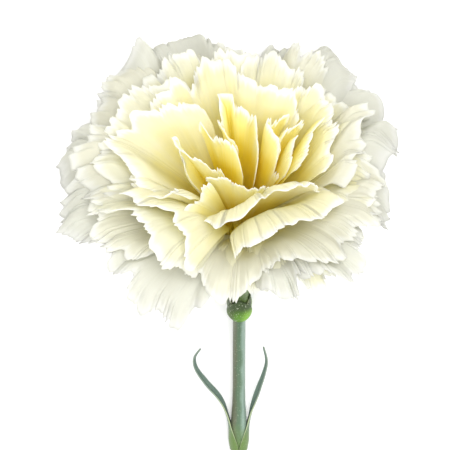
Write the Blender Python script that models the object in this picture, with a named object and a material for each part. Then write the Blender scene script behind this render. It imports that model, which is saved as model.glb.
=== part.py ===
"""A cut carnation lying on a flat surface: petals, calyx, bracts, pistil, stem and one pair of leaves.

The petals are worked out in the flower's own frame, with the calyx mouth at its origin and the
flower's axis along its z. Every petal follows one layer of a nest of cups around that axis, from
layer 1 outside to layer 0 on the axis, so two petals never meet however much the nest is folded.
The finished flower is then laid down: head and stem cut rest on z = 0, the stem along -y.
"""

import math

import bmesh
import bpy
import numpy as np
from mathutils import Matrix, Vector

# ---------------------------------------------------------------- driving dimensions, mm and degrees

MM = 0.001
HEAD_TILT = 30.0  # the flower's axis above the surface it lies on
MOUTH_HEIGHT = 21.5  # the calyx mouth above that surface
CALYX_LENGTH = 29.9  # from the mouth down to the bottom of the tube
CALYX_WALL = 0.35
CALYX_TEETH = 5
TOOTH_RISE = 3.0  # the tips above the mouth, and the notches as far below it
BRACT_LENGTH = 8.6
BRACT_THICKNESS = 0.3
CLAW_LENGTH = 13.0  # the narrow foot of a petal, inside the calyx
CLAW_WIDTH = 1.5
PETAL_THICKNESS = 0.25
PETAL_ROWS = 8
PETAL_COLUMNS = {"guard": 9, "outer": 9, "middle": 9, "inner": 9, "heart": 11}
STEM_DIAMETER = 3.1
STEM_LENGTH = 72.0  # from the calyx to the cut
STEM_SIDES = 12
NECK_BEND = 14.0  # the stem turns level within this length below the calyx
CUT_SLANT = 38.0
NODE_AT = 32.3  # the leaf joint, along the stem from the calyx
NODE_SWELLING = 0.55  # how much thicker the stem's radius is there
LEAF_THICKNESS = 0.35
LEAF_TWIST = 38.0  # the blades turn their hollow side up
SHEATH_RADIUS = 2.35
BLADE_RADIUS = 1.9
PIECE_GAP = 0.3

# Each petal: direction round the axis, layer, half width in degrees, length past the calyx mouth in mm.
PETALS = {
    "guard": [
        (242, 1.000, 31, 39.0), (190, 0.950, 27, 41.5), (152, 0.990, 26, 41.0),
        (112, 0.945, 26, 43.5), (70, 0.995, 27, 41.5), (32, 0.950, 26, 39.5),
        (-9, 0.990, 26, 37.5), (-50, 0.935, 27, 37.5), (-84, 0.965, 25, 34.0),
    ],
    "outer": [
        (217, 0.890, 26, 37.5), (170, 0.850, 27, 38.5), (133, 0.895, 28, 38.6),
        (91, 0.855, 26, 39.0), (51, 0.900, 27, 38.5), (12, 0.855, 28, 36.5),
        (-30, 0.885, 28, 35.5), (-68, 0.840, 27, 33.0), (-103, 0.870, 27, 32.0),
    ],
    "middle": [
        (238, 0.775, 34, 34.5), (183, 0.735, 38, 37.0), (138, 0.785, 34, 37.0),
        (93, 0.730, 36, 37.5), (45, 0.775, 36, 37.5), (2, 0.730, 36, 35.5),
        (-42, 0.780, 36, 34.0), (-84, 0.725, 34, 32.0),
    ],
    "inner": [
        (205, 0.650, 42, 34.0), (150, 0.590, 42, 35.5), (100, 0.645, 42, 36.0),
        (50, 0.585, 44, 35.5), (-5, 0.640, 44, 34.0), (-58, 0.560, 46, 33.0),
        (-115, 0.600, 46, 32.0),
    ],
    "heart": [
        (178, 0.470, 50, 34.0), (118, 0.400, 50, 34.5), (62, 0.460, 50, 34.5),
        (8, 0.390, 50, 33.5), (-60, 0.455, 60, 32.5), (-135, 0.410, 50, 31.5),
        (145, 0.290, 55, 30.0), (40, 0.230, 55, 30.0), (-90, 0.170, 60, 26.0),
    ],
}
# The heart petals stand in upright folds: direction and half width of each fold, in degrees.
HEART_FOLDS = [
    (152, 15), (104, 13), (64, 13), (24, 14), (-22, 15), (-72, 24), (-128, 17), (196, 16),
]
HEART_FOLD_DEPTH = 0.55  # how far a fold swings in and out, as a part of its distance from the axis

# ---------------------------------------------------------------- helpers


def smooth(x, low, high):
    """0 below low, 1 above high, and an S curve between them."""
    q = min(max((x - low) / (high - low), 0.0), 1.0)
    return q * q * (3 - 2 * q)


def material(name, color, roughness):
    made = bpy.data.materials.new(name)
    made.use_nodes = True
    shader = made.node_tree.nodes["Principled BSDF"]
    shader.inputs["Base Color"].default_value = (*color, 1.0)
    shader.inputs["Roughness"].default_value = roughness
    shader.inputs["Metallic"].default_value = 0.0
    return made


def add_object(name, bm, finish):
    """Closes a bmesh in millimetres into an object of this name."""
    bmesh.ops.scale(bm, vec=(MM, MM, MM), verts=bm.verts)
    mesh = bpy.data.meshes.new(name)
    bm.to_mesh(mesh)
    bm.free()
    mesh.shade_smooth()
    mesh.set_sharp_from_angle(angle=math.radians(40))
    mesh.materials.append(finish)
    made = bpy.data.objects.new(name, mesh)
    bpy.context.scene.collection.objects.link(made)
    return made


def add_rings(bm, rings):
    """Joins rings of points by quads; every ring has the same number of points."""
    for low, high in zip(rings, rings[1:]):
        for k in range(len(low)):
            after = (k + 1) % len(low)
            bm.faces.new((low[k], low[after], high[after], high[k]))


def circle(bm, middle, radius, sides):
    """A level ring of points round this middle."""
    ring = []
    for k in range(sides):
        angle = math.tau * k / sides
        ring.append(bm.verts.new(middle + Vector((math.cos(angle), math.sin(angle), 0)) * radius))
    return ring


# ---------------------------------------------------------------- the flower's frame on the surface

AXIS = Vector((0, math.cos(math.radians(HEAD_TILT)), math.sin(math.radians(HEAD_TILT))))
DOWN_FACE = Vector((0, math.sin(math.radians(HEAD_TILT)), -math.cos(math.radians(HEAD_TILT))))
MOUTH = Vector((0, 0, MOUTH_HEIGHT))


def lay(x, y, z):
    """A point of the flower's frame, laid down: its y points to the surface and forwards."""
    return MOUTH + Vector((x, 0, 0)) + DOWN_FACE * y + AXIS * z


def lay_down(bm):
    for vert in bm.verts:
        vert.co = lay(*vert.co)


# ---------------------------------------------------------------- petals

HEAD_LEAN = 3.7  # the head sits this far to one side of its stem
RISE_BELOW = 0.26  # the side next to the surface is pushed forwards, in mm for each mm out
RISE_ABOVE = 0.10
FLOOR_SOFTNESS = 1.0
STEPS = 12
POINTS, WEIGHTS = np.polynomial.legendre.leggauss(STEPS)


def mouth_radius(layer):
    return 1.0 + 5.1 * layer


def claw_base_radius(layer):
    return 1.0 + 3.6 * layer


def lean(t, layer):
    """The angle in radians between the flower's axis and a petal, t mm past the calyx mouth."""
    spread = (2 + 66 * layer**1.35) * smooth(t, -1, 14 - 3 * layer)
    droop = (30 * layer**3 - 4) * (t / 36) ** 2
    return math.radians(spread + droop)


def cup(t, layer):
    """Distance from the axis and height of the cup of this layer, t mm past the calyx mouth."""
    out = mouth_radius(layer)
    up = min(t, 0.0)
    if t <= 0:
        out += (claw_base_radius(layer) - out) * -t / CLAW_LENGTH
        return out, up
    for point, weight in zip(POINTS, WEIGHTS):
        angle = lean(t * (point + 1) / 2, layer)
        out += t * weight / 2 * math.sin(angle)
        up += t * weight / 2 * math.cos(angle)
    return out, up


def heart_swing(angle):
    """How far the upright folds swing out, from about -0.6 to 0.5, in this direction."""
    swing = -0.62
    for direction, width in HEART_FOLDS:
        apart = math.remainder(angle - math.radians(direction), math.tau)
        swing += math.exp(-((apart / math.radians(width)) ** 2))
    return swing


def folded(angle, t, layer):
    """The point of a layer in this direction, with the folds that neighbouring petals share."""
    along = min(max(t / 34, 0.0), 1.2)
    grown = smooth(along, 0.12, 1.0)
    heart = 1 - smooth(layer, 0.30, 0.80)
    middle = smooth(layer, 0.25, 0.5) * (1 - smooth(layer, 0.85, 1.05))
    rim = smooth(layer, 0.70, 0.95)
    broad = 0.55 * math.sin(7 * angle + 1.2 + 3 * layer)
    broad += 0.5 * math.sin(4 * angle - 2 * layer + 2.4)
    pleats = 0.5 * math.sin(12 * angle + 2 * layer) + 0.5 * math.sin(7 * angle + 0.5)
    shift = grown * (0.055 * middle * broad + 0.024 * rim * pleats)
    out, up = cup(t, layer + shift)
    turned = angle + 0.35 * (along - 0.6) * heart + 0.12 * math.sin(3 * angle + 1)
    out *= 1 + HEART_FOLD_DEPTH * heart * grown * heart_swing(turned)
    return out * math.cos(angle), out * math.sin(angle), up


def settled(x, y, z):
    """The flower's point after the head has leaned over and been pressed on the surface."""
    outside = smooth(math.hypot(x, y), 4, 36)
    rise = RISE_BELOW if y > 0 else RISE_ABOVE
    point = lay(x - HEAD_LEAN * outside, y, z + rise * y * outside)
    if point.z < 8 * FLOOR_SOFTNESS:
        pressed = FLOOR_SOFTNESS * math.log1p(math.exp(point.z / FLOOR_SOFTNESS))
        point.z = pressed + PETAL_THICKNESS / 2
    return point


def add_petal(name, columns, direction, layer, half_width, length, finish):
    """A claw that widens into a fan with a rounded margin, as a sheet with a little thickness."""
    bm = bmesh.new()
    bmesh.ops.create_grid(bm, x_segments=columns - 1, y_segments=PETAL_ROWS - 1, size=1)
    for vert in bm.verts:
        across, up_grid, _ = vert.co
        margin = 1 - 0.13 * abs(across) ** 2.6 - 0.14 * abs(across) ** 9
        t = -CLAW_LENGTH + (up_grid + 1) / 2 * (CLAW_LENGTH + length * margin)
        radius = cup(t, layer)[0]
        opened = 0.85 * smooth(t, 2, 0.64 * length) + 0.15 * smooth(t, 2, length)
        half = CLAW_WIDTH / 2 / radius * (1 - opened) + math.radians(half_width) * opened
        vert.co = settled(*folded(math.radians(direction) + across * half, t, layer))
    bmesh.ops.recalc_face_normals(bm, faces=bm.faces)
    made = add_object(name, bm, finish)
    sheet = made.modifiers.new("thickness", "SOLIDIFY")
    sheet.thickness = PETAL_THICKNESS * MM
    sheet.offset = 0


def add_petals():
    colors = {
        "guard": (0.90, 0.90, 0.84),
        "outer": (0.89, 0.88, 0.76),
        "middle": (0.88, 0.85, 0.66),
        "inner": (0.86, 0.80, 0.55),
        "heart": (0.80, 0.69, 0.34),
    }
    for ring, petals in PETALS.items():
        finish = material(f"{ring}_petal", colors[ring], 0.6)
        for number, petal in enumerate(petals, start=1):
            add_petal(f"{ring}_petal_{number}", PETAL_COLUMNS[ring], *petal, finish)


# ---------------------------------------------------------------- calyx, bracts and pistil


def through(points, x):
    """The height at x of a smooth curve through these (x, height) points."""
    if x <= points[0][0]:
        return points[0][1]
    for (x0, y0), (x1, y1) in zip(points, points[1:]):
        if x <= x1:
            return y0 + (y1 - y0) * smooth(x, x0, x1)
    return points[-1][1]


# Outer radius of the tube at heights along the axis: a narrow foot, a waist, then the wide cup of claws.
CALYX_SIDE = [
    (-29.9, 1.50), (-28.0, 2.05), (-26.0, 2.38), (-21.0, 2.18), (-13.0, 5.45), (-3.0, 6.95), (3.0, 8.10),
]
CALYX_LEVELS = [-29.9, -28.0, -26.0, -21.5, -19.5, -18.0, -16.5, -15.0, -12.5, -9.5, -6.5, -3.6]


def add_calyx(finish):
    """The fused sepals: one tube that ends in five pointed teeth."""
    bm = bmesh.new()
    columns = CALYX_TEETH * 4
    rings = []
    for level in CALYX_LEVELS + ["half", "rim"]:
        ring = []
        for k in range(columns):
            angle = math.tau * k / columns
            tooth = abs(k % 4 - 2) / 2
            rim = TOOTH_RISE * (1 - 2 * tooth)
            height = {"half": (rim + CALYX_LEVELS[-1]) / 2, "rim": rim}.get(level, level)
            radius = through(CALYX_SIDE, height)
            ring.append(bm.verts.new((radius * math.cos(angle), radius * math.sin(angle), height)))
        rings.append(ring)
    add_rings(bm, rings)
    lay_down(bm)
    bmesh.ops.recalc_face_normals(bm, faces=bm.faces)
    made = add_object("calyx", bm, finish)
    wall = made.modifiers.new("wall", "SOLIDIFY")
    wall.thickness = CALYX_WALL * MM
    wall.offset = -1


# Distance of the inner pair's sheet from the axis, from its foot to its tip.
BRACT_SIDE = [(0.0, 1.82), (0.22, 2.62), (0.48, 2.86), (1.0, 2.52)]
BRACT_PAIRS = [(0, 0.0), (90, 0.46)]  # direction, and how much further out that pair lies


def add_bracts(finish):
    """Two pairs of pointed scales that hug the foot of the calyx, the second pair over the first."""
    number = 0
    for direction, outwards in BRACT_PAIRS:
        for facing in (direction, direction + 180):
            number += 1
            bm = bmesh.new()
            bmesh.ops.create_grid(bm, x_segments=6, y_segments=8, size=1)
            for vert in bm.verts:
                across, up_grid, _ = vert.co
                along = (up_grid + 1) / 2
                width = 66 * (1 - 0.88 * along**2.2) * (0.72 + 0.28 * smooth(along, 0, 0.3))
                angle = math.radians(facing + across * width)
                radius = through(BRACT_SIDE, along) + outwards * (1 - 0.35 * along)
                height = -CALYX_LENGTH - 0.2 + BRACT_LENGTH * (along - 0.1 * abs(across) * along)
                vert.co = lay(radius * math.cos(angle), radius * math.sin(angle), height)
            bmesh.ops.recalc_face_normals(bm, faces=bm.faces)
            made = add_object(f"bract_{number}", bm, finish)
            sheet = made.modifiers.new("thickness", "SOLIDIFY")
            sheet.thickness = BRACT_THICKNESS * MM
            sheet.offset = 0


OVARY_SIDE = [(-13.0, 0.30), (-12.6, 0.80), (-11.0, 1.10), (-9.0, 0.95), (-7.2, 0.60), (-6.4, 0.25)]
STYLE_RADIUS = 0.3
STYLE_FOOT = -8.0  # heights along the axis, from the mouth
STYLE_TOP = 8.0
STYLE_RINGS = 9


def add_pistil(finish):
    """The ovary at the bottom of the claws, and the two styles that rise from it."""
    bm = bmesh.new()
    rings = [circle(bm, Vector((0, 0, height)), radius, 12) for height, radius in OVARY_SIDE]
    add_rings(bm, rings)
    bm.faces.new(reversed(rings[0]))
    bm.faces.new(rings[-1])
    lay_down(bm)
    made = add_object("pistil", bm, finish)
    for side in (-1, 1):
        bm = bmesh.new()
        rings = []
        for k in range(STYLE_RINGS):
            share = k / (STYLE_RINGS - 1)
            height = STYLE_FOOT + (STYLE_TOP - STYLE_FOOT) * share
            centre = Vector((side * (0.40 + 0.6 * smooth(height, -2, 9)), 0, height))
            rings.append(circle(bm, centre, STYLE_RADIUS * (1 - 0.5 * share**3), 8))
        add_rings(bm, rings)
        bm.faces.new(reversed(rings[0]))
        bm.faces.new(rings[-1])
        lay_down(bm)
        style = add_object(f"style_{'left' if side < 0 else 'right'}", bm, finish)
        style.hide_render = True
        style.display_type = "WIRE"
        join = made.modifiers.new(style.name, "BOOLEAN")
        join.operation = "UNION"
        join.object = style


# ---------------------------------------------------------------- stem and leaves


def stem_slope(run, rest_slope):
    """The stem's angle to the surface, run mm below the calyx: a bent neck, then a long level run."""
    bent = 1 - smooth(run, 0, NECK_BEND)
    return math.radians(rest_slope + (HEAD_TILT - rest_slope) * bent)


def stem_point(run, rest_slope):
    """The middle of the stem, run mm below the calyx (or, where run is negative, up inside it)."""
    top = lay(0, 0, -CALYX_LENGTH)
    if run <= 0:
        return top - AXIS * run
    forward, down = 0.0, 0.0
    for point, weight in zip(POINTS, WEIGHTS):
        slope = stem_slope(run * (point + 1) / 2, rest_slope)
        forward += run * weight / 2 * math.cos(slope)
        down += run * weight / 2 * math.sin(slope)
    sway = 2.2 * smooth(run, 34, STEM_LENGTH)
    return top + Vector((sway, -forward, -down))


def resting_slope():
    """The slope of the long run that brings the cut end down to the surface."""
    low, high = 0.0, 12.0
    for _ in range(40):
        middle = (low + high) / 2
        if stem_point(STEM_LENGTH, middle).z > STEM_DIAMETER / 2:
            low = middle
        else:
            high = middle
    return low


# Radius of the stem's top inside the calyx, where the petals stand on it.
RECEPTACLE = [(-16.5, 4.3), (-14.6, 3.4), (-10.8, 1.25), (0.0, 0.95)]


def stem_radius(run):
    """The shaft, its swollen joint, and inside the calyx a thin neck under the receptacle."""
    if run <= 0:
        return through(RECEPTACLE, run)
    swollen = math.exp(-(((run - NODE_AT - 1.5) / 6.0) ** 2))
    return STEM_DIAMETER / 2 + NODE_SWELLING * swollen


def add_stem(finish, slope):
    runs = [-16.5, -15.6, -14.6, -13.4, -12.2, -10.8, -5.0, 0.0, PIECE_GAP]
    runs += [3.0 * k for k in range(1, int(STEM_LENGTH / 3) + 1)]
    bm = bmesh.new()
    rings = []
    for run in runs:
        ahead = stem_point(run - 0.05, slope) - stem_point(run + 0.05, slope)
        ahead.normalize()
        up = Vector((1, 0, 0)).cross(ahead).normalized()
        side = ahead.cross(up)
        ring = []
        for k in range(STEM_SIDES):
            angle = math.tau * k / STEM_SIDES
            spoke = side * math.cos(angle) + up * math.sin(angle)
            slant = math.tan(math.radians(CUT_SLANT)) * math.sin(angle) if run == runs[-1] else 0
            at = stem_point(run, slope) + spoke * stem_radius(run)
            ring.append(bm.verts.new(at + ahead * slant * stem_radius(run)))
        rings.append(ring)
    add_rings(bm, rings)
    bm.faces.new(rings[0])
    bm.faces.new(reversed(rings[-1]))
    bmesh.ops.recalc_face_normals(bm, faces=bm.faces)
    add_object("stem", bm, finish)


# Each leaf's middle line from the stem's joint: along the stem towards the flower, and outwards.
LEAVES = {
    "leaf_left": (-1, [
        (-6.5, 2.10), (-4.0, 2.45), (-1.0, 2.50), (2.6, 3.00), (7.4, 4.9),
        (12.0, 8.4), (15.6, 10.7), (18.6, 11.1), (21.0, 9.6),
    ]),
    "leaf_right": (1, [
        (-6.5, 2.10), (-4.0, 2.45), (-1.0, 2.50), (2.4, 2.90), (6.3, 3.9),
        (10.4, 5.1), (14.3, 6.3), (17.8, 6.9), (21.5, 6.1),
    ]),
}
LEAF_ROWS = 22
LEAF_COLUMNS = 7


def on_curve(points, share):
    """The point this share of the way along a smooth curve through the points."""
    place = share * (len(points) - 1)
    index = min(int(place), len(points) - 2)
    q = place - index
    last = len(points) - 1
    p0, p1, p2, p3 = (Vector(points[min(max(index + k, 0), last)]) for k in (-1, 0, 1, 2))
    near = 2 * p1 + (p2 - p0) * q + (2 * p0 - 5 * p1 + 4 * p2 - p3) * q**2
    return 0.5 * (near + (3 * p1 - p0 - 3 * p2 + p3) * q**3)


def add_leaf(name, side, line, finish, slope):
    """A half sheath round the stem's joint that narrows into a channelled, pointed blade."""
    joint = stem_point(NODE_AT, slope)
    ahead = (stem_point(NODE_AT - 1, slope) - joint).normalized()
    up = Vector((1, 0, 0)).cross(ahead).normalized()
    outward = Vector((side, 0, 0))
    bm = bmesh.new()
    bmesh.ops.create_grid(bm, x_segments=LEAF_COLUMNS - 1, y_segments=LEAF_ROWS - 1, size=1)
    for vert in bm.verts:
        across, up_grid, _ = vert.co
        share = (up_grid + 1) / 2
        at = on_curve(line, share)
        step = on_curve(line, min(share + 0.01, 1)) - on_curve(line, max(share - 0.01, 0))
        step.normalize()
        along, out = at
        blade = smooth(share, 0.30, 0.46)
        curl = SHEATH_RADIUS + (BLADE_RADIUS - SHEATH_RADIUS) * blade
        sheath_reach = math.radians(84 - 60 * smooth(share, 0.06, 0.42)) * SHEATH_RADIUS
        blade_reach = 1.45 * (1 - share) ** 0.7 * (1 - 0.3 * smooth(share, 0.5, 1)) + 0.12
        reach = sheath_reach * (1 - blade) + blade_reach * blade
        turn = across * reach / curl
        level = ahead * step.y * blade - outward * (step.x * blade + 1 - blade)
        twist = math.radians(LEAF_TWIST) * smooth(share, 0.34, 0.62)
        inward = level * math.cos(twist) + up * math.sin(twist)
        upward = up * math.cos(twist) - level * math.sin(twist)
        centre = joint + ahead * along + outward * out
        vert.co = centre + inward * curl * (1 - math.cos(turn)) + upward * curl * math.sin(turn)
    bmesh.ops.recalc_face_normals(bm, faces=bm.faces)
    made = add_object(name, bm, finish)
    sheet = made.modifiers.new("thickness", "SOLIDIFY")
    sheet.thickness = LEAF_THICKNESS * MM
    sheet.offset = 0


# ---------------------------------------------------------------- run


def centre_on_origin():
    """Moves everything so that the origin is at the middle of the bottom of the whole flower's box."""
    bpy.context.view_layer.update()
    graph = bpy.context.evaluated_depsgraph_get()
    points = []
    for obj in bpy.context.scene.objects:
        if obj.hide_render:
            continue
        mesh = obj.evaluated_get(graph).to_mesh()
        points += [tuple(vert.co) for vert in mesh.vertices]
    low, high = np.min(points, axis=0), np.max(points, axis=0)
    middle = Vector(((low[0] + high[0]) / 2, (low[1] + high[1]) / 2, low[2]))
    for obj in bpy.context.scene.objects:
        obj.data.transform(Matrix.Translation(-middle))


for old in list(bpy.data.objects):
    bpy.data.objects.remove(old)

green = material("green", (0.16, 0.30, 0.08), 0.55)
waxy_green = material("waxy_green", (0.20, 0.30, 0.18), 0.5)
ivory = material("ivory", (0.85, 0.82, 0.66), 0.5)

add_petals()
add_calyx(green)
add_bracts(green)
add_pistil(ivory)
rest_slope = resting_slope()
add_stem(waxy_green, rest_slope)
for leaf, (side, line) in LEAVES.items():
    add_leaf(leaf, side, line, waxy_green, rest_slope)
centre_on_origin()
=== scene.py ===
# %% [markdown]
# # A cut carnation lying on a table
# The flower is a cream carnation, cut from its plant and laid down on its stem.
# Forty-two thin petals stand in a narrow green calyx, and a waxy stem with one
# pair of leaves carries it. This lesson loads the plain solid model first, and
# then builds a finer piece in the place of each solid.

import math

import bpy
import numpy as np
from mathutils import Matrix, Vector


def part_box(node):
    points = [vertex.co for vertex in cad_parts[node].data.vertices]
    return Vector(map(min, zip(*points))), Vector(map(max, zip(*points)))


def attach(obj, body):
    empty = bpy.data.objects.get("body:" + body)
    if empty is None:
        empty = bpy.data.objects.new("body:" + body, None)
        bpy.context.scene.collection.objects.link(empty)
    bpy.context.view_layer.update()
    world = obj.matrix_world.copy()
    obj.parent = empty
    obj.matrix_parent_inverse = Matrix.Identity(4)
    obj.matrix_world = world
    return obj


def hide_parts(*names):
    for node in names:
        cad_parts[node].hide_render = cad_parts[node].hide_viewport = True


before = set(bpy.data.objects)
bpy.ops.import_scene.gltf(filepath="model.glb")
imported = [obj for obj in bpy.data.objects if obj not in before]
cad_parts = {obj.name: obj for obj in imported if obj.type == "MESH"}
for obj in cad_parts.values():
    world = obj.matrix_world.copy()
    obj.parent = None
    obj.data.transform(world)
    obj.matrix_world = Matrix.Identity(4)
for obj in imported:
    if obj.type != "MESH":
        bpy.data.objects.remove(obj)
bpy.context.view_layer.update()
print("solids:", len(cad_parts))

# %% [markdown]
# ## Where the flower lies
# Everything is measured from the mouth of the calyx, where the petals come out.
# The flower's axis points forwards and up from there, 30 degrees above the table.
# Lengths are in millimetres here, and a piece is turned into metres only when
# its points are set.

# %% Measures of the flower
MM = 0.001
HEAD_TILT = math.radians(30)
MOUTH_HEIGHT = 21.5
CALYX_LENGTH = 29.9
CALYX_FOOT_RADIUS = 1.50
CLAW_LENGTH = 13.0
CLAW_WIDTH = 1.5
HEAD_SHIFT = 3.7  # the head sits this far to one side of its stem
RISE_BELOW = 0.26  # petals on the table side stand forwards by this share of their distance
RISE_ABOVE = 0.10  # and those on the upper side stand back by this share
AXIS = Vector((0, math.cos(HEAD_TILT), math.sin(HEAD_TILT)))
TABLE_SIDE = Vector((0, math.sin(HEAD_TILT), -math.cos(HEAD_TILT)))
calyx_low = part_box("calyx")[0]
pistil_low, pistil_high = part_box("pistil")
MOUTH = Vector(((pistil_low.x + pistil_high.x) / 2 / MM, 0, MOUTH_HEIGHT))
CALYX_FOOT_BACK = CALYX_LENGTH * AXIS.y + CALYX_FOOT_RADIUS * AXIS.z
MOUTH.y = calyx_low.y / MM + CALYX_FOOT_BACK
print("mouth of the calyx at", [round(v, 2) for v in MOUTH], "mm")

# %% [markdown]
# ## Camera
# The camera looks almost straight down on the laid flower. It leans a little
# towards the open face, so the lens sees into the heart.

# %% Camera
VIEW_TILT = math.radians(17)
MM_ACROSS_VIEW = 103.95
VIEW_LEFT, VIEW_UP = 3.5, 1.4  # from the mouth of the calyx to the middle of the view
LENS = 120
SENSOR = 36
view_back = Vector((0, math.sin(VIEW_TILT), math.cos(VIEW_TILT)))
view_up = Vector((0, math.cos(VIEW_TILT), -math.sin(VIEW_TILT)))
view_centre = MOUTH - Vector((VIEW_LEFT, 0, 0)) + view_up * VIEW_UP
camera_data = bpy.data.cameras.new("camera")
camera_data.lens = LENS
camera_data.sensor_width = SENSOR
camera_data.clip_start = 0.01
camera = bpy.data.objects.new("camera", camera_data)
bpy.context.scene.collection.objects.link(camera)
camera.location = (view_centre + view_back * (MM_ACROSS_VIEW * LENS / SENSOR)) * MM
camera.rotation_euler = Matrix((Vector((1, 0, 0)), view_up, view_back)).transposed().to_euler()
bpy.context.scene.camera = camera
bpy.context.scene.view_settings.view_transform = "Standard"
print("camera at", [round(v, 3) for v in camera.location])

# %% [markdown]
# ## Table and light
# A pale matt table and a white studio: light comes from all round. Two large
# lamps, one beyond the flower and one above it, shine into its open face and
# through its petals, so those nearest the lens glow instead of lying in shade.

# %% Table and light
TABLE_WHITE = 0.97
STUDIO_STRENGTH = 0.85
LAMP_SIZE = 0.6
LAMP_AIM = Vector((0, 0.03, 0.03))  # the middle of the head, in metres
bpy.ops.mesh.primitive_plane_add(size=4)
table = bpy.context.object
table.name = "table"
table_paint = bpy.data.materials.new("pale_table")
table_paint.use_nodes = True
table_shader = table_paint.node_tree.nodes["Principled BSDF"]
table_shader.inputs["Base Color"].default_value = (TABLE_WHITE, TABLE_WHITE, TABLE_WHITE, 1)
table_shader.inputs["Roughness"].default_value = 0.9
table.data.materials.append(table_paint)

studio = bpy.data.worlds.new("studio")
studio.use_nodes = True
studio.node_tree.nodes["Background"].inputs["Color"].default_value = (1, 1, 1, 1)
studio.node_tree.nodes["Background"].inputs["Strength"].default_value = STUDIO_STRENGTH
bpy.context.scene.world = studio


def add_lamp(name, place, energy):
    data = bpy.data.lights.new(name, "AREA")
    data.size = LAMP_SIZE
    data.energy = energy
    lamp = bpy.data.objects.new(name, data)
    bpy.context.scene.collection.objects.link(lamp)
    lamp.location = place
    lamp.rotation_euler = (LAMP_AIM - lamp.location).to_track_quat("-Z", "Y").to_euler()


add_lamp("key", (0.12, 0.42, 0.64), 3.6)
add_lamp("fill", (0.02, 0.06, 0.80), 3.3)

# %% [markdown]
# ## The shape that all petals share
# In a real carnation the petals are packed like the leaves of a book that has
# been rolled up: each one stands inside the next. The same rule keeps most of
# them apart here. A petal is a curve drawn across the open flower, and one
# shared function says where each point of that curve is at each height, from
# the narrow claw in the calyx to the wide rim.

# %% The open flower's cup
GAUSS, GAUSS_WEIGHT = np.polynomial.legendre.leggauss(12)
GAUSS = (GAUSS + 1) / 2
GAUSS_WEIGHT = GAUSS_WEIGHT / 2
HEART_OUT, LAYERS_OUT = 1.0, 5.1  # distance from the axis at the mouth, and what outer layers add
FOOT_IN = 1.5  # how much nearer the axis the feet of the outermost claws stand
HEART_LEAN, LAYERS_LEAN = 2, 66  # degrees, and what the outermost layer adds
HEART_DROOP, LAYERS_DROOP = -4, 30  # more degrees at the rim, in the same way
RIM_AT = 36  # mm along a petal
DISC_MM = 32.0  # the flower's disc is measured this far along its petals
EASED_BELOW = 8  # points lower than this are eased up from the table
TABLE_GAP = 0.1


def smooth(x, low, high):
    """0 below low, 1 above high, and an S-curve between them."""
    share = np.clip((x - low) / (high - low), 0, 1)
    return share * share * (3 - 2 * share)


def lean(length, layer):
    """How far a petal of this layer leans outwards, this far along it, in radians."""
    turned = HEART_LEAN + LAYERS_LEAN * np.maximum(layer, 0) ** 1.35
    droop = HEART_DROOP + LAYERS_DROOP * layer**3
    return np.radians(turned * smooth(length, -1, 14 - 3 * layer) + droop * (length / RIM_AT) ** 2)


def cup(length, layer):
    """Distance from the axis and height above the mouth, this far along a petal of this layer."""
    above = np.maximum(length, 0)
    out = HEART_OUT + LAYERS_OUT * layer
    height = np.zeros_like(out)
    for place, weight in zip(GAUSS, GAUSS_WEIGHT):
        angle = lean(above * place, layer)
        out = out + above * weight * np.sin(angle)
        height = height + above * weight * np.cos(angle)
    below = np.clip(-length / CLAW_LENGTH, 0, 1)
    return out - FOOT_IN * layer * below, height + np.minimum(length, 0)


LAYER_STEPS = np.linspace(0, 1.0, 101)
SPREAD = cup(np.full(101, DISC_MM), LAYER_STEPS)[0]


def layer_at(distance):
    """The layer whose petals pass this far from the axis at the disc."""
    return np.interp(distance, SPREAD, LAYER_STEPS)


def laid_down(x, y, z):
    """Lays down the upright flower's points: x to the right, y to the table side, z on the axis."""
    outside = smooth(np.hypot(x, y), 4, RIM_AT)
    forward = z + np.where(y > 0, RISE_BELOW, RISE_ABOVE) * y * outside
    points = np.array(MOUTH) + np.outer(forward, AXIS) + np.outer(y, TABLE_SIDE)
    points[:, 0] += x - HEAD_SHIFT * outside
    low = points[:, 2] < EASED_BELOW
    points[low, 2] = np.log1p(np.exp(points[low, 2])) + TABLE_GAP
    return points


print("distance from the axis at the disc, by layer:", SPREAD[::20].round(1))

# %% [markdown]
# ## Rims
# The rims are what the eye follows, so each petal is given by its own rim. The
# petals of the heart, the inner and the middle ring are curves across the
# flower in millimetres, with a length of petal at each point: some are folded
# double, and some stand like fins. The outer and the guard petals are arcs, so
# they are given as a direction in degrees, a layer and a length.

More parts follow.
